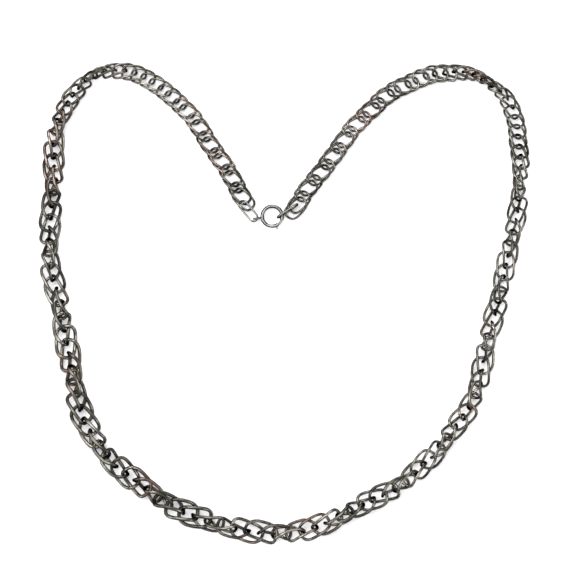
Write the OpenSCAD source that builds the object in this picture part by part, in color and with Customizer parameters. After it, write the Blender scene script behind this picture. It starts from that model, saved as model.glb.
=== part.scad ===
// Twisted double-curb chain necklace with a spring ring clasp.
// Laid flat in a heart-shaped loop. X runs across, Y away from the lower end, Z up.
// The table is at z = 0. Units are millimetres.

/* [Chain] */
// Which sub-part to draw
// Distance from one link to the next near the clasp
link_pitch = 2.693; // [2.3:0.001:3.2]
// Half the length of a link, to the middle of its wire
link_half_length = 3.2; // [2.6:0.01:3.6]
// Half the width of a link, to the middle of its wire
link_half_width = 1.93; // [1.6:0.01:2.6]
// Wire diameter of a link near the clasp
wire_d = 0.6; // [0.4:0.01:0.8]
// Twist built into each link: how far its corners stand over or under its plane
link_twist = -0.35; // [-0.8:0.01:0]
// Cup built into each link: how far its ends stand under its plane and its sides over it
link_cup = -0.6; // [-0.8:0.01:0]
// How far a link leans out of line with the chain, in its own plane, in degrees
link_lean = 16; // [0:1:20]
// How square the link's outline is, 2 is an ellipse
link_square = 3; // [2:0.1:4]
// Links in one rigid section
section_links = 3; // [2:1:4]
// Sections on each side of the clasp
side_sections = 24; // [12:1:26]
// Where the first link's middle is along the route
first_link_at = -0.7; // [-1:0.1:2]
// How far every second link closes up to its partner at the ends, in pitches
pair_shift = 0.32; // [0:0.01:0.45]
// Roll of a closed-up link against its partner
pair_roll = 10; // [0:1:15]

/* [Spring ring] */
// Outside diameter of the ring
ring_d = 6.3; // [5:0.1:8]
// Diameter of the ring's tube
tube_d = 0.95; // [0.8:0.05:1.3]
// Wall of the tube
tube_wall = 0.13; // [0.1:0.01:0.2]
// Bolt diameter
bolt_d = 0.58; // [0.4:0.01:0.7]
// Width of the gap that the bolt closes
gap_angle = 34; // [25:1:45]
// Direction of the gap's middle from the ring's centre
gap_at = -38; // [-90:1:90]
// How far the bolt turns back
bolt_travel = 40; // [30:1:45]
// Turns of the bolt spring
spring_turns = 14; // [8:1:20]

/* [Hidden] */
// Corners round the wire and stations along a link
sides = 5;
rings = 16;
// Middle of the ring
ring_at = [-3.3, 23.2];
// Height of the clasp's middle plane
clasp_z = 1.7;
ring_r = (ring_d - tube_d) / 2;

// The route of the chain's middle line over the table, left end first
route = [
  [-10, 26], [-11.3, 28.3], [-13, 31.5], [-15.5, 36], [-20, 42.5], [-24.5, 49.5], [-30, 55],
  [-34.5, 58.5], [-39, 61], [-43, 62], [-47, 62], [-51, 61], [-54, 58.5],
  [-56.5, 55.5], [-58.5, 52], [-60.5, 47], [-61.5, 40.5], [-62, 32.5],
  [-62.5, 24.5], [-62.5, 16], [-62, 8], [-60.5, 0.5], [-59, -7.5], [-57, -15.5],
  [-55.5, -23.5], [-54, -29.5], [-51.5, -35], [-48, -40.5], [-43, -45],
  [-36.5, -49.5], [-30, -54], [-22.5, -57.5], [-15, -60], [-7, -61], [1, -61],
  [9, -59.5], [16.5, -56.5], [23.5, -52.5], [30.5, -48.5], [36.5, -43.5],
  [41.5, -39], [45.5, -33.5], [49, -28], [52, -20], [54, -12.5], [56, -3.5],
  [58, 6], [60.5, 15], [62, 23], [62.5, 31], [63, 37.5], [62.5, 43], [62, 47.5],
  [61, 51], [59.5, 54.5], [56.5, 57.5], [53, 60], [48.5, 61.5], [44, 61.5],
  [39, 61], [34, 59], [28, 56], [23, 51.5], [18.5, 47], [14.5, 41.5],
  [10.5, 36], [6.5, 31], [4.5, 28], [2.5, 24.5]
];
// Distances along the route are counted from this far after its first point
lead = 2.7;
// Roll of the band: [distance along the route, degrees]
roll = [
  [-9, 0], [40, 0], [48, 25], [58, 100], [74, 270], [90, 450], [107, 630],
  [123, 810], [142, 990], [162, 1170], [182, 1350], [200, 1530], [217, 1710],
  [235, 1890], [252, 2070], [268, 2250], [283, 2430], [297, 2610], [311, 2790],
  [325, 2970], [338, 3140], [349, 3235], [360, 3255], [373, 3345], [388, 3420],
  [450, 3420]
];
// Size of the links: [distance along the route, size]
grade = [
  [-9, 1], [68, 1], [78, 1.2], [105, 1.22], [130, 1.33], [215, 1.36],
  [240, 1.24], [305, 1.2], [335, 1.1], [345, 1], [450, 1]
];
// How much of the closing up is left: [distance along the route, part]
paired = [[-9, 1], [18, 1], [41, 0], [376, 0], [408, 1], [450, 1]];
// Pitch against the size: [distance along the route, part]
slack = [[-9, 1], [36, 1], [42, 0.96], [48, 1], [372, 1], [378, 0.98], [384, 1], [450, 1]];
// Thickness of the wire in each section of three links, against wire_d
heft = [
  1.06, 1.06, 1, 1, 1, 1, 1.08, 1.04, 1.24, 1.24, 1.24, 1.24,
  1.14, 1.14, 1.22, 1.22, 1.24, 1.22, 1.16, 1.22, 1.24, 1.02, 1.02, 1.04,
  1.1, 1.1, 1.1, 1, 1.06, 1.04, 1.02, 1.02, 1, 1, 1, 1.06,
  1.24, 1, 1, 1.24, 1.18, 1.06, 1, 1, 1, 1.08, 1, 1
];
// Height of the band's middle line: [distance along the route, mm]
lift = [
  [-9, 1.3], [38, 1.3], [47, 1.72], [54, 2.54], [64, 2.57], [76, 2.93],
  [90, 3.08], [106, 3.15], [128, 3.4], [150, 3.42], [175, 3.38], [200, 3.62],
  [218, 3.42], [238, 3.2], [258, 3.13], [280, 3.08], [302, 3.08], [324, 2.93],
  [338, 2.74], [346, 2.57], [354, 2.25], [362, 2.25], [370, 2.58], [378, 2.49],
  [388, 1.67], [396, 1.3], [450, 1.3]
];

// Value at s in a table of [s, value] rows
function table(s, t) = lookup(s, t);

// A smooth curve through four points
function blend(a, b, c, d, f) =
  0.5 * (2 * b + (c - a) * f + (2 * a - 5 * b + 4 * c - d) * f * f
         + (3 * b - a - 3 * c + d) * f * f * f);

steps = 10;
last = len(route) - 1;
fine = [
  for (i = [0 : last - 1], k = [0 : steps - 1])
    blend(route[max(i - 1, 0)], route[i], route[i + 1], route[min(i + 2, last)], k / steps),
  route[last]
];
// Distance along the route at each fine point
along = [for (i = 0, s = -lead; i < len(fine);
              s = s + (i + 1 < len(fine) ? norm(fine[i + 1] - fine[i]) : 0), i = i + 1) s];
route_x = [for (i = [0 : len(fine) - 1]) [along[i], fine[i][0]]];
route_y = [for (i = [0 : len(fine) - 1]) [along[i], fine[i][1]]];
function place(s) = [lookup(s, route_x), lookup(s, route_y)];

links = 2 * side_sections * section_links;
// Where each link would sit if none closed up
stops = [for (i = 0, s = first_link_at; i < links;
              s = s + link_pitch * table(s, grade) * table(s, slack), i = i + 1) s];
function pitch_at(s) = link_pitch * table(s, grade) * table(s, slack);
function closeness(i) = (i % 2) * table(stops[i], paired);
function spot(i) = stops[i] - closeness(i) * pair_shift * pitch_at(stops[i]);

// Direction of the route at s, as a unit vector
function heading(s, h) = let(v = place(s + h) - place(s - h)) v / norm(v);

// A point on the middle of a link's wire, turned t round it, in the link's own frame:
// x along the chain, y out to the side and z up
function oval(t, e) =
  let(
    x = link_half_length * sign(cos(t)) * pow(abs(cos(t)), e),
    y = link_half_width * sign(sin(t)) * pow(abs(sin(t)), e)
  )
  [
    x * cos(link_lean) - y * sin(link_lean),
    x * sin(link_lean) + y * cos(link_lean),
    link_twist * sin(2 * t) + link_cup * cos(2 * t)
  ];
function rolled(p, r) = [p[0], p[1] * cos(r) - p[2] * sin(r), p[1] * sin(r) + p[2] * cos(r)];

// One ring of points round the wire
function wire_ring(t, r, d_wire) =
  let(
    e = 2 / link_square,
    c = rolled(oval(t, e), r),
    d0 = rolled(oval(t + 2, e), r) - rolled(oval(t - 2, e), r),
    d = d0 / norm(d0),
    out0 = cross(d, [0, -sin(r), cos(r)]),
    out = out0 / norm(out0),
    up = cross(out, d)
  )
  [for (j = [0 : sides - 1]) c + d_wire / 2 * (cos(j * 360 / sides) * out + sin(j * 360 / sides) * up)];

// Faces between ring i and the next of a tube of m rings with n corners
function band_faces(i, m, n) = [
  for (j = [0 : n - 1])
    let(a = i * n + j, b = i * n + (j + 1) % n, c = ((i + 1) % m) * n + (j + 1) % n,
        d = ((i + 1) % m) * n + j)
    each [[a, b, c], [a, c, d]]
];
// Faces of a tube that closes on itself
function tube_faces(m, n) = [for (i = [0 : m - 1]) each band_faces(i, m, n)];

module link(i) {
  s = spot(i);
  size = table(s, grade);
  c = place(s);
  t = heading(s, 1.35 * size);
  r = table(s, roll) + pair_roll * closeness(i);
  points = [
    for (k = [0 : rings - 1])
      each wire_ring(k * 360 / rings + 11.25, r, wire_d * heft[floor(i / section_links)])
  ];
  multmatrix([
    [size * t[0], -size * t[1], 0, c[0]],
    [size * t[1], size * t[0], 0, c[1]],
    [0, 0, size, table(s, lift)],
    [0, 0, 0, 1]
  ])
    polyhedron(points = points, faces = tube_faces(rings, sides), convexity = 4);
}

// A section of the chain: its links from number first on
module section(first) {
  color([0.62, 0.62, 0.63])
    for (i = [first : first + section_links - 1]) link(i);
}

// The left sections run from the clasp down the left side, the right ones from the right
function two_digits(i) = str(i < 10 ? "0" : "", i);
left_names = [for (i = [1 : side_sections]) str("left_links_", two_digits(i))];
right_names = [for (i = [1 : side_sections]) str("right_links_", two_digits(i))];

// Puts a clasp part in the ring's own frame: centre at the origin, flat on XY
module at_ring() translate([ring_at[0], ring_at[1], clasp_z]) children();

// The hollow tube, open over the gap, with a slot for the thumb tab on its outer side
tab_at = gap_at - gap_angle / 2 - 14;
module spring_ring() {
  color([0.7, 0.7, 0.71])
    at_ring()
      difference() {
        rotate([0, 0, gap_at + gap_angle / 2])
          rotate_extrude(angle = 360 - gap_angle, $fn = 96)
            translate([ring_r, 0]) difference() {
              circle(d = tube_d, $fn = 32);
              circle(d = tube_d - 2 * tube_wall, $fn = 32);
            }
        rotate([0, 0, tab_at - bolt_travel - 8])
          rotate_extrude(angle = bolt_travel + 16, $fn = 96)
            translate([ring_r + bolt_d / 2 - 0.06, -0.2]) square([tube_d, 0.4]);
      }
}

// The bolt: a curved rod through the gap, its tip a little way inside the far end
bolt_tail = 44;
bolt_tip = 7;
module ring_bolt() {
  color([0.66, 0.66, 0.67])
    at_ring() {
      rotate([0, 0, gap_at - gap_angle / 2 - bolt_tail])
        rotate_extrude(angle = bolt_tail + gap_angle + bolt_tip, $fn = 96)
          translate([ring_r, 0]) circle(d = bolt_d, $fn = 24);
      rotate([0, 0, tab_at])
        translate([ring_r, 0, 0])
          rotate([0, 90, 0]) {
            cylinder(d = 0.28, h = tube_d / 2 + 0.25, $fn = 24);
            translate([0, 0, tube_d / 2 + 0.2]) cylinder(d = 0.6, h = 0.22, $fn = 24);
          }
    }
}

// The coil behind the bolt, wound round the tube's middle line
spring_from = 95;
spring_wire = 0.09;
spring_r = 0.22;
spring_steps = 12;
function coil(t) =
  let(
    a = gap_at - gap_angle / 2 - bolt_tail - 1.5 - t * spring_from,
    w = t * spring_turns * 360,
    r = ring_r + spring_r * cos(w)
  )
  [r * cos(a), r * sin(a), spring_r * sin(w)];
function coil_ring(k) =
  let(
    n = spring_turns * spring_steps,
    c = coil(k / n),
    d0 = coil((k + 0.2) / n) - coil((k - 0.2) / n),
    d = d0 / norm(d0),
    side0 = cross(d, c - coil((k + spring_steps / 2) / n)),
    side = side0 / norm(side0),
    up = cross(side, d)
  )
  [for (j = [0 : 3]) c + spring_wire / 2 * (cos(j * 90) * side + sin(j * 90) * up)];
module bolt_spring() {
  n = spring_turns * spring_steps;
  color([0.5, 0.5, 0.5])
    at_ring()
      polyhedron(
        points = [for (k = [0 : n]) each coil_ring(k)],
        faces = concat(
          [[3, 2, 1, 0], [for (j = [0 : 3]) n * 4 + j]],
          [for (k = [0 : n - 1]) each band_faces(k, n + 1, 4)]
        ),
        convexity = 10
      );
}

// A long loop of round wire with its ends at points a and b, rolled r about its own length
loop_rings = 28;
function loop_point(t, half_l, half_w) =
  let(reach = half_l - half_w)
  [half_w * cos(t) + reach * (abs(cos(t)) < 0.01 ? 0 : sign(cos(t))), half_w * sin(t), 0];
function loop_ring(t, half_l, half_w, d) =
  let(c = loop_point(t, half_l, half_w), out = [cos(t), sin(t), 0])
  [for (j = [0 : 7]) c + d / 2 * (cos(j * 45) * out + sin(j * 45) * [0, 0, 1])];
module wire_loop(a, b, half_w, d, r = 0) {
  v = b - a;
  translate((a + b) / 2)
    rotate([0, -asin(v[2] / norm(v)), atan2(v[1], v[0])])
      rotate([r, 0, 0])
        polyhedron(
          points = [for (k = [0 : loop_rings - 1])
            each loop_ring((k + 0.5) * 360 / loop_rings, norm(v) / 2, half_w, d)],
          faces = [for (f = tube_faces(loop_rings, 8)) [f[2], f[1], f[0]]],
          convexity = 4
        );
}

// The soldered eye on the ring's left side
eye_dir = 188;
eye_r = 0.85;
eye_wire = 0.5;
eye_at = ring_at + (ring_d / 2 + eye_r + eye_wire / 2 - 0.08) * [cos(eye_dir), sin(eye_dir)];
module ring_eye() {
  color([0.7, 0.7, 0.71])
    translate([eye_at[0], eye_at[1], clasp_z])
      rotate([0, 0, eye_dir]) rotate([90, 0, 0])
        rotate_extrude($fn = 48) translate([eye_r, 0]) circle(d = eye_wire, $fn = 20);
}

// Joins the eye to the first chain link
left_end = [[-7.6, 22.1, 1.6], [-11.8, 27.1, 1.15]];
module left_end_link() {
  color([0.74, 0.74, 0.75])
    wire_loop(left_end[0], left_end[1], 1.2, 0.5, -22);
}

// Hooked by the spring ring, and holds the last chain link
right_end = [[-1.8, 22.9, 1.75], [3.43, 26.43, 1.75]];
module right_end_link() {
  color([0.74, 0.74, 0.75])
    wire_loop(right_end[0], right_end[1], 1.15, 0.6, 82);
}

// Draws the sub-part that node names
for (i = [0 : side_sections - 1]) {
  section(i * section_links);
  section(links - (i + 1) * section_links);
}
spring_ring();
ring_bolt();
bolt_spring();
ring_eye();
left_end_link();
right_end_link();
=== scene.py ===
# Twisted double-curb chain necklace, laid flat and closed by a spring ring.
import math

import bmesh
import bpy
from mathutils import Matrix, Vector


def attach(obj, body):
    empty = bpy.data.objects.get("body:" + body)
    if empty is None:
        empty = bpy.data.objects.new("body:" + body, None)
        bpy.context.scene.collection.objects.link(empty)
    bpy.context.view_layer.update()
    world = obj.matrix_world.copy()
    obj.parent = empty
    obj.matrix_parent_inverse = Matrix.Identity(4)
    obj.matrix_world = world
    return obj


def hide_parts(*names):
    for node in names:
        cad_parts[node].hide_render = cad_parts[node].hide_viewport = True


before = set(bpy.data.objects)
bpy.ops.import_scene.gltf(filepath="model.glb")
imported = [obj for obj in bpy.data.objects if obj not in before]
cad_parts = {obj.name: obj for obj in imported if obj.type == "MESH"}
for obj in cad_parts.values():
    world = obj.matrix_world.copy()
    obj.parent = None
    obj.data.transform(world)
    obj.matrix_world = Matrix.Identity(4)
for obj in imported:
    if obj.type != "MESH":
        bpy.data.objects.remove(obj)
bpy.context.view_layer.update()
mm = 0.001
up = Vector((0, 0, 1))
print("frame loaded:", len(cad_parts), "nodes")


# ---- small helpers ----

def linear(hexColour):
    # sRGB hex to linear RGBA
    parts = [int(hexColour[i:i + 2], 16) / 255 for i in (1, 3, 5)]
    return [c / 12.92 if c <= 0.04045 else ((c + 0.055) / 1.055) ** 2.4 for c in parts] + [1]


def addNode(tree, kind, settings=None, inputs=None):
    # adds a node; an input given as a socket is linked, anything else is set as its value
    node = tree.nodes.new(kind)
    for name, value in (settings or {}).items():
        setattr(node, name, value)
    for key, value in (inputs or {}).items():
        socket = node.inputs[key]
        if isinstance(value, bpy.types.NodeSocket):
            tree.links.new(value, socket)
        else:
            socket.default_value = value
    return node


def lookup(rows, s):
    # straight-line value at s in rows of (s, value)
    for (s0, v0), (s1, v1) in zip(rows, rows[1:]):
        if s <= s1:
            return v0 + (v1 - v0) * max(0, s - s0) / (s1 - s0)
    return rows[-1][1]


def finishMesh(obj, name, material):
    obj.name = name
    obj.data.name = name
    obj.data.materials.clear()
    obj.data.materials.append(material)
    obj.data.shade_smooth()
    return obj


def newObject(name, data):
    obj = bpy.data.objects.new(name, data)
    bpy.context.scene.collection.objects.link(obj)
    return obj


# ---- materials ----

silver = dict(
    body="#8c8980",       # tarnished silver plate where it is rubbed bright
    recess="#423f38",     # brown-grey bloom over whole patches
    tinge="#84695f",      # faint warm patches of tarnish
    paintedFlankShade="#1c1b19",      # painted shade: a dark colour on the sides of the wire that stands in for its dark glancing reflections
    rim="#3a3836",        # what is left of the shine at a glancing angle
    patchSize=6.0,        # mm across a patch of tarnish
    patchRange=(0.38, 0.66),
    tingeSize=15.0,       # mm across a warm patch
    tingeRange=(0.52, 0.7),
    tingeMost=0.55,
    flankShadeRange=(0.4, 0.85),   # upright part of the normal, from the painted shade on the flank to the plate colour on the upper face
    toneRange=(0.6, 1.3),      # how much darker or brighter one link is than the next
    roughness=0.2,
    tarnishRoughness=0.14,     # added where the bloom is
    glossRange=(0.35, 0.7),
    scratchSize=0.12,     # mm between hairline scratches, drawn coarser than life
    scratchStrength=0.12,
    scratchDepth=0.03,    # mm
)


def silverMaterial(name, body, recess, tinge, roughness, toneAttribute=None):
    # rolled and polished silver plate: mirror-like wire, its shine broken by tarnish
    material = bpy.data.materials.new(name)
    material.use_nodes = True
    tree = material.node_tree
    tree.nodes.clear()
    coord = addNode(tree, "ShaderNodeTexCoord")
    patches = addNode(tree, "ShaderNodeTexNoise", {}, {
        "Vector": coord.outputs["Object"], "Scale": 1 / (silver["patchSize"] * mm),
        "Detail": 4.0, "Roughness": 0.6})
    patchRamp = addNode(tree, "ShaderNodeValToRGB", {}, {"Fac": patches.outputs["Fac"]})
    for element, position, colour in zip(
            patchRamp.color_ramp.elements, silver["patchRange"], (recess, body)):
        element.position = position
        element.color = linear(colour)
    warm = addNode(tree, "ShaderNodeTexNoise", {}, {
        "Vector": coord.outputs["Object"], "Scale": 1 / (silver["tingeSize"] * mm), "Detail": 2.0})
    warmRange = addNode(tree, "ShaderNodeMapRange", {}, {
        "Value": warm.outputs["Fac"], "From Min": silver["tingeRange"][0],
        "From Max": silver["tingeRange"][1], "To Max": silver["tingeMost"]})
    plate = addNode(tree, "ShaderNodeMix", {"data_type": "RGBA"}, {
        0: warmRange.outputs["Result"], 6: patchRamp.outputs["Color"], 7: linear(tinge)})

    # painted shade: the upper and under faces keep the plate colour and the steep flanks are painted
    # dark, standing in for the dark reflections at the wire's edges
    facing = addNode(tree, "ShaderNodeSeparateXYZ", {}, {0: coord.outputs["Normal"]})
    level = addNode(tree, "ShaderNodeMath", {"operation": "ABSOLUTE"}, {0: facing.outputs["Z"]})
    flankShadeMask = addNode(tree, "ShaderNodeMapRange", {"interpolation_type": "SMOOTHSTEP"}, {
        "Value": level.outputs[0], "From Min": silver["flankShadeRange"][0],
        "From Max": silver["flankShadeRange"][1]})
    # mix the painted flank shade in where the normal lies near level
    flankShaded = addNode(tree, "ShaderNodeMix", {"data_type": "RGBA"}, {
        0: flankShadeMask.outputs["Result"], 6: linear(silver["paintedFlankShade"]), 7: plate.outputs[2]})
    result = flankShaded.outputs[2]
    if toneAttribute:
        tone = addNode(tree, "ShaderNodeAttribute", {"attribute_name": toneAttribute})
        shade = addNode(tree, "ShaderNodeMapRange", {}, {
            "Value": tone.outputs["Fac"], "To Min": silver["toneRange"][0],
            "To Max": silver["toneRange"][1]})
        result = addNode(tree, "ShaderNodeVectorMath", {"operation": "SCALE"}, {
            0: result, "Scale": shade.outputs["Result"]}).outputs[0]

    gloss = addNode(tree, "ShaderNodeMapRange", {}, {
        "Value": patches.outputs["Fac"], "From Min": silver["glossRange"][0],
        "From Max": silver["glossRange"][1], "To Min": roughness + silver["tarnishRoughness"],
        "To Max": roughness})
    scratches = addNode(tree, "ShaderNodeTexNoise", {}, {
        "Vector": coord.outputs["Object"], "Scale": 1 / (silver["scratchSize"] * mm), "Detail": 4.0})
    bump = addNode(tree, "ShaderNodeBump", {}, {
        "Height": scratches.outputs["Fac"], "Strength": silver["scratchStrength"],
        "Distance": silver["scratchDepth"] * mm})
    shader = addNode(tree, "ShaderNodeBsdfPrincipled", {}, {
        "Base Color": result, "Metallic": 1.0, "Roughness": gloss.outputs["Result"],
        "Specular Tint": linear(silver["rim"]), "Normal": bump.outputs["Normal"]})
    addNode(tree, "ShaderNodeOutputMaterial", {}, {"Surface": shader.outputs["BSDF"]})
    return material


linkSilver = silverMaterial("tarnishedSilverLinks", silver["body"], silver["recess"], silver["tinge"],
                            silver["roughness"], "linkTone")
claspSilver = silverMaterial("polishedSilverClasp", "#7f7f7d", "#5f5f5c", "#75695f", 0.12)
endSilver = silverMaterial("brightSilverEndLinks", "#8c8c8a", "#6c6c69", "#84786e", 0.14)
springSteel = silverMaterial("drawnSpringSteel", "#8d8c8b", "#5c5a58", "#7a6a60", 0.3)
print("materials made")


# ---- the chain's route, as the maker laid it out ----

chain = dict(
    pitch=2.693, halfLength=3.2, halfWidth=1.93, wire=0.6, twist=-0.35, cup=-0.6, lean=16, square=3,
    sectionLinks=3, sideSections=24, firstAt=-0.7, pairShift=0.32, pairRoll=10, lead=2.7,
    rings=28, sides=8, seed=7,
    route=[
        (-10, 26), (-11.3, 28.3), (-13, 31.5), (-15.5, 36), (-20, 42.5), (-24.5, 49.5),
        (-30, 55), (-34.5, 58.5), (-39, 61), (-43, 62), (-47, 62), (-51, 61), (-54, 58.5),
        (-56.5, 55.5), (-58.5, 52), (-60.5, 47), (-61.5, 40.5), (-62, 32.5), (-62.5, 24.5),
        (-62.5, 16), (-62, 8), (-60.5, 0.5), (-59, -7.5), (-57, -15.5), (-55.5, -23.5),
        (-54, -29.5), (-51.5, -35), (-48, -40.5), (-43, -45), (-36.5, -49.5), (-30, -54),
        (-22.5, -57.5), (-15, -60), (-7, -61), (1, -61), (9, -59.5), (16.5, -56.5),
        (23.5, -52.5), (30.5, -48.5), (36.5, -43.5), (41.5, -39), (45.5, -33.5), (49, -28),
        (52, -20), (54, -12.5), (56, -3.5), (58, 6), (60.5, 15), (62, 23), (62.5, 31),
        (63, 37.5), (62.5, 43), (62, 47.5), (61, 51), (59.5, 54.5), (56.5, 57.5), (53, 60),
        (48.5, 61.5), (44, 61.5), (39, 61), (34, 59), (28, 56), (23, 51.5), (18.5, 47),
        (14.5, 41.5), (10.5, 36), (6.5, 31), (4.5, 28), (2.5, 24.5)],
    # roll of the band in degrees, by distance along the route
    roll=[
        (-9, 0), (40, 0), (48, 25), (58, 100), (74, 270), (90, 450), (107, 630), (123, 810),
        (142, 990), (162, 1170), (182, 1350), (200, 1530), (217, 1710), (235, 1890),
        (252, 2070), (268, 2250), (283, 2430), (297, 2610), (311, 2790), (325, 2970),
        (338, 3140), (349, 3235), (360, 3255), (373, 3345), (388, 3420), (450, 3420)],
    # size of the links against those at the clasp
    grade=[
        (-9, 1), (68, 1), (78, 1.2), (105, 1.22), (130, 1.33), (215, 1.36), (240, 1.24),
        (305, 1.2), (335, 1.1), (345, 1), (450, 1)],
    # thickness of the wire in each section of three links, against its nominal size
    heft=[
        1.06, 1.06, 1, 1, 1, 1, 1.08, 1.04, 1.24, 1.24, 1.24, 1.24,
        1.14, 1.14, 1.22, 1.22, 1.24, 1.22, 1.16, 1.22, 1.24, 1.02, 1.02, 1.04,
        1.1, 1.1, 1.1, 1, 1.06, 1.04, 1.02, 1.02, 1, 1, 1, 1.06,
        1.24, 1, 1, 1.24, 1.18, 1.06, 1, 1, 1, 1.08, 1, 1],
    paired=[(-9, 1), (18, 1), (41, 0), (376, 0), (408, 1), (450, 1)],
    slack=[(-9, 1), (36, 1), (42, 0.96), (48, 1), (372, 1), (378, 0.98), (384, 1), (450, 1)],
    lift=[
        (-9, 1.3), (38, 1.3), (47, 1.72), (54, 2.54), (64, 2.57), (76, 2.93), (90, 3.08),
        (106, 3.15), (128, 3.4), (150, 3.42), (175, 3.38), (200, 3.62), (218, 3.42),
        (238, 3.2), (258, 3.13), (280, 3.08), (302, 3.08), (324, 2.93), (338, 2.74),
        (346, 2.57), (354, 2.25), (362, 2.25), (370, 2.58), (378, 2.49), (388, 1.67),
        (396, 1.3), (450, 1.3)],
)


def routePoints(points, steps=10):
    # a smooth curve through the route's points, with the distance along it at each
    fine = []
    for i in range(len(points) - 1):
        a, b = Vector(points[max(i - 1, 0)]), Vector(points[i])
        c, d = Vector(points[i + 1]), Vector(points[min(i + 2, len(points) - 1)])
        for k in range(steps):
            f = k / steps
            fine.append(0.5 * (2 * b + (c - a) * f + (2 * a - 5 * b + 4 * c - d) * f * f
                               + (3 * b - a - 3 * c + d) * f ** 3))
    fine.append(Vector(points[-1]))
    along = [-chain["lead"]]
    for p, q in zip(fine, fine[1:]):
        along.append(along[-1] + (q - p).length)
    return fine, along


fine, along = routePoints(chain["route"])
routeX = [(s, p.x) for s, p in zip(along, fine)]
routeY = [(s, p.y) for s, p in zip(along, fine)]


def place(s):
    return Vector((lookup(routeX, s), lookup(routeY, s)))


def linkPoses():
    # where each link lies: centre in mm, turn as a matrix, and size
    count = 2 * chain["sideSections"] * chain["sectionLinks"]
    poses, s = [], chain["firstAt"]
    for i in range(count):
        pitch = chain["pitch"] * lookup(chain["grade"], s) * lookup(chain["slack"], s)
        closeness = (i % 2) * lookup(chain["paired"], s)
        at = s - closeness * chain["pairShift"] * pitch
        size = lookup(chain["grade"], at)
        heading = place(at + 1.35 * size) - place(at - 1.35 * size)
        roll = lookup(chain["roll"], at) + chain["pairRoll"] * closeness
        turn = (Matrix.Rotation(math.atan2(heading.y, heading.x), 3, "Z")
                @ Matrix.Rotation(math.radians(roll), 3, "X"))
        centre = place(at)
        heft = chain["heft"][i // chain["sectionLinks"]]
        poses.append((Vector((centre.x, centre.y, lookup(chain["lift"], at))), turn, size, heft))
        s += pitch
    return poses


# ---- Geometry Nodes: one link, set on every point with its own turn and size ----

def linkTree():
    tree = bpy.data.node_groups.new("curbLinks", "GeometryNodeTree")
    face = tree.interface
    face.new_socket("Geometry", in_out="INPUT", socket_type="NodeSocketGeometry")
    for name, kind in (
            ("Half Length", "NodeSocketFloat"), ("Half Width", "NodeSocketFloat"),
            ("Wire", "NodeSocketFloat"), ("Lean", "NodeSocketFloat"), ("Twist", "NodeSocketFloat"),
            ("Cup", "NodeSocketFloat"), ("Square", "NodeSocketFloat"),
            ("Rings", "NodeSocketInt"), ("Sides", "NodeSocketInt"),
            ("Seed", "NodeSocketInt"), ("Material", "NodeSocketMaterial")):
        face.new_socket(name, in_out="INPUT", socket_type=kind)
    face.new_socket("Geometry", in_out="OUTPUT", socket_type="NodeSocketGeometry")
    given = addNode(tree, "NodeGroupInput").outputs

    def maths(operation, a, b=None):
        inputs = {0: a} if b is None else {0: a, 1: b}
        return addNode(tree, "ShaderNodeMath", {"operation": operation}, inputs).outputs[0]

    turns = maths("DIVIDE", addNode(tree, "GeometryNodeInputIndex").outputs[0], given["Rings"])
    t = maths("MULTIPLY", turns, 2 * math.pi)
    power = maths("DIVIDE", 2.0, given["Square"])

    def rounded(wave, half):
        # half x sign(wave) x |wave| ^ power, the link's squared-off oval
        w = maths(wave, t)
        return maths("MULTIPLY", half, maths("MULTIPLY", maths("SIGN", w),
                                             maths("POWER", maths("ABSOLUTE", w), power)))

    ovalX, ovalY = rounded("COSINE", given["Half Length"]), rounded("SINE", given["Half Width"])
    cosLean, sinLean = maths("COSINE", given["Lean"]), maths("SINE", given["Lean"])
    x = maths("SUBTRACT", maths("MULTIPLY", ovalX, cosLean), maths("MULTIPLY", ovalY, sinLean))
    y = maths("ADD", maths("MULTIPLY", ovalX, sinLean), maths("MULTIPLY", ovalY, cosLean))
    double = maths("MULTIPLY", t, 2.0)
    z = maths("ADD", maths("MULTIPLY", given["Twist"], maths("SINE", double)),
              maths("MULTIPLY", given["Cup"], maths("COSINE", double)))
    spot = addNode(tree, "ShaderNodeCombineXYZ", {}, {0: x, 1: y, 2: z})
    oval = addNode(tree, "GeometryNodeCurvePrimitiveCircle", {}, {"Resolution": given["Rings"]})
    bent = addNode(tree, "GeometryNodeSetPosition", {}, {
        "Geometry": oval.outputs["Curve"], "Position": spot.outputs[0]})
    section = addNode(tree, "GeometryNodeCurvePrimitiveCircle", {}, {
        "Resolution": given["Sides"], "Radius": maths("DIVIDE", given["Wire"], 2.0)})
    wire = addNode(tree, "GeometryNodeCurveToMesh", {}, {
        "Curve": bent.outputs[0], "Profile Curve": section.outputs["Curve"]})
    smooth = addNode(tree, "GeometryNodeSetShadeSmooth", {}, {"Geometry": wire.outputs["Mesh"]})

    def attribute(name, kind):
        return addNode(tree, "GeometryNodeInputNamedAttribute", {"data_type": kind},
                       {"Name": name}).outputs["Attribute"]

    turn = addNode(tree, "FunctionNodeEulerToRotation", {}, {0: attribute("turn", "FLOAT_VECTOR")})
    placed = addNode(tree, "GeometryNodeInstanceOnPoints", {}, {
        "Points": given["Geometry"], "Instance": smooth.outputs[0],
        "Rotation": turn.outputs[0], "Scale": attribute("size", "FLOAT")})
    tone = addNode(tree, "FunctionNodeRandomValue", {"data_type": "FLOAT"}, {
        "ID": attribute("linkNumber", "INT"), "Seed": given["Seed"]})
    toned = addNode(tree, "GeometryNodeStoreNamedAttribute", {
        "data_type": "FLOAT", "domain": "INSTANCE"}, {
        "Geometry": placed.outputs[0], "Name": "linkTone", "Value": tone.outputs[1]})
    real = addNode(tree, "GeometryNodeRealizeInstances", {}, {0: toned.outputs[0]})
    coated = addNode(tree, "GeometryNodeSetMaterial", {}, {
        "Geometry": real.outputs[0], "Material": given["Material"]})
    addNode(tree, "NodeGroupOutput", {}, {0: coated.outputs[0]})
    return tree


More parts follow.
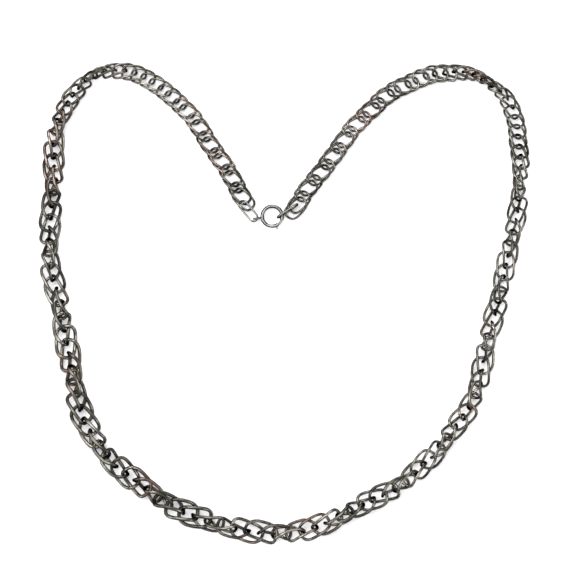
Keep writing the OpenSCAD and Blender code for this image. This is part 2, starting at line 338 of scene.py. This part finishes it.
def makeSection(name, tree, numbers, poses):
    # one point for each link, carrying its turn and size, then the tree's result as plain mesh
    mesh = bpy.data.meshes.new(name + "Points")
    mesh.from_pydata([poses[i][0] * mm for i in numbers], [], [])
    for label, kind, field, values in (
            ("turn", "FLOAT_VECTOR", "vector", [tuple(poses[i][1].to_euler("XYZ")) for i in numbers]),
            ("size", "FLOAT", "value", [poses[i][2] for i in numbers]),
            ("linkNumber", "INT", "value", list(numbers))):
        layer = mesh.attributes.new(label, kind, "POINT")
        for row, value in zip(layer.data, values):
            setattr(row, field, value)
    seedObject = newObject(name + "Points", mesh)
    modifier = seedObject.modifiers.new("links", "NODES")
    modifier.node_group = tree
    sockets = {item.name: item.identifier for item in tree.interface.items_tree
               if item.item_type == "SOCKET" and item.in_out == "INPUT"}
    heft = poses[numbers[len(numbers) // 2]][3]
    for label, value in (
            ("Half Length", chain["halfLength"] * mm), ("Half Width", chain["halfWidth"] * mm),
            ("Wire", chain["wire"] * mm * heft), ("Lean", math.radians(chain["lean"])),
            ("Twist", chain["twist"] * mm), ("Cup", chain["cup"] * mm), ("Square", chain["square"]),
            ("Rings", chain["rings"]), ("Sides", chain["sides"]), ("Seed", chain["seed"]),
            ("Material", linkSilver)):
        modifier[sockets[label]] = value
    seedObject.update_tag()
    shown = seedObject.evaluated_get(bpy.context.evaluated_depsgraph_get())
    plain = bpy.data.meshes.new_from_object(shown)
    bpy.data.objects.remove(seedObject)
    return finishMesh(newObject(name, plain), name, linkSilver)


poses = linkPoses()
tree = linkTree()
linkCount = len(poses)
perSection = chain["sectionLinks"]
for side in ("left", "right"):
    bodies = {}
    for k in range(1, chain["sideSections"] + 1):
        node = f"{side}_links_{k:02d}"
        body = f"{side}_section_{min(k, chain['sideSections'] - 1):02d}"
        first = (k - 1) * perSection if side == "left" else linkCount - k * perSection
        bodies.setdefault(body, []).append((node, range(first, first + perSection)))
    for body, rows in bodies.items():
        numbers = [i for _, span in rows for i in span]
        section = makeSection(body.replace("_section_", "Chain"), tree, numbers, poses)
        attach(section, body)
        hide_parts(*[node for node, _ in rows])
print("chain made:", linkCount, "links")


# ---- clasp ----

def sweep(name, points, radius, sides, face):
    # a closed loop of round wire along points, lying square to face
    mesh = bmesh.new()
    rings = []
    for i, p in enumerate(points):
        tangent = (points[(i + 1) % len(points)] - points[i - 1]).normalized()
        out = tangent.cross(face).normalized()
        above = out.cross(tangent)
        rings.append([mesh.verts.new(p + radius * (math.cos(a) * out + math.sin(a) * above))
                      for a in (2 * math.pi * k / sides for k in range(sides))])
    for a, b in zip(rings, rings[1:] + rings[:1]):
        for k in range(sides):
            mesh.faces.new((a[k], a[(k + 1) % sides], b[(k + 1) % sides], b[k]))
    bmesh.ops.recalc_face_normals(mesh, faces=mesh.faces)
    data = bpy.data.meshes.new(name)
    mesh.to_mesh(data)
    mesh.free()
    return newObject(name, data)


endLinkShape = dict(steps=24, sides=14)
endLinks = dict(
    left=dict(start=(-7.6, 22.1, 1.6), end=(-11.8, 27.1, 1.15), halfWidth=1.2, wire=0.5, roll=-22),
    right=dict(start=(-1.8, 22.9, 1.75), end=(3.43, 26.43, 1.75), halfWidth=1.15, wire=0.6, roll=82),
)


def endLink(name, start, end, halfWidth, wire, roll):
    # a long oval from start to end, rolled about its length; sizes in mm
    a, b = Vector(start), Vector(end)
    reach = (b - a).length / 2 - halfWidth
    x = (b - a).normalized()
    y = up.cross(x).normalized()
    side = y * math.cos(math.radians(roll)) + x.cross(y) * math.sin(math.radians(roll))
    points = []
    for sign in (1, -1):
        for k in range(endLinkShape["steps"] + 1):
            t = math.pi * (k / endLinkShape["steps"] - 0.5) + (0 if sign > 0 else math.pi)
            points.append(((a + b) / 2 + x * (halfWidth * math.cos(t) + sign * reach)
                           + side * halfWidth * math.sin(t)) * mm)
    return sweep(name, points, wire / 2 * mm, endLinkShape["sides"], x.cross(side))


for side, size in endLinks.items():
    link = finishMesh(endLink(side + "EndLink", **size), side + "EndLink", endSilver)
    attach(link, side + "_end_link")
    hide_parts(side + "_end_link")

for node, material in (("spring_ring", claspSilver), ("ring_eye", claspSilver),
                       ("ring_bolt", claspSilver), ("bolt_spring", springSteel)):
    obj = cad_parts[node]
    obj.data.materials.clear()
    obj.data.materials.append(material)
print("clasp made")


# ---- floor, light and camera ----

floor = dict(size=3.0, colour="#ffffff", roughness=0.95)
studio = dict(
    world="#b9babc", worldStrength=1.0, softboxSize=0.5,
    lights=dict(       # place in metres and power in watts
        keyLight=((-0.16, 0.2, 0.95), 7.0),
        sideLight=((0.75, -0.35, 0.65), 4.5),
        backLight=((0.15, 0.85, 0.5), 4.5),
        leftLight=((-0.85, -0.1, 0.55), 4.0)),
)
view = dict(width=155.4, centre=(1.47, 3.48), height=1000.0, sensor=36.0)

plane = bpy.data.meshes.new("floor")
half = floor["size"] / 2
corners = [(-half, -half, 0), (half, -half, 0), (half, half, 0), (-half, half, 0)]
plane.from_pydata(corners, [], [(0, 1, 2, 3)])
floorObject = newObject("floor", plane)
paper = bpy.data.materials.new("matteWhitePaper")
paper.use_nodes = True
paperShader = paper.node_tree.nodes["Principled BSDF"]
paperShader.inputs["Base Color"].default_value = linear(floor["colour"])
paperShader.inputs["Roughness"].default_value = floor["roughness"]
plane.materials.append(paper)

world = bpy.data.worlds.new("studio")
world.use_nodes = True
background = world.node_tree.nodes["Background"]
background.inputs["Color"].default_value = linear(studio["world"])
background.inputs["Strength"].default_value = studio["worldStrength"]
bpy.context.scene.world = world


def softbox(name, at, power):
    # a square light at a place, turned to the origin
    lamp = bpy.data.lights.new(name, "AREA")
    lamp.shape = "SQUARE"
    lamp.size = studio["softboxSize"]
    lamp.energy = power
    obj = newObject(name, lamp)
    obj.location = at
    obj.rotation_euler = (-Vector(at)).to_track_quat("-Z", "Y").to_euler()


for name, (at, power) in studio["lights"].items():
    softbox(name, at, power)

camera = bpy.data.cameras.new("camera")
camera.sensor_width = view["sensor"]
camera.lens = view["sensor"] * view["height"] / view["width"]
camera.clip_end = 10
cameraObject = newObject("camera", camera)
cameraObject.location = (view["centre"][0] * mm, view["centre"][1] * mm, view["height"] * mm)
bpy.context.scene.camera = cameraObject
bpy.context.scene.view_settings.view_transform = "Standard"
print("stage set")
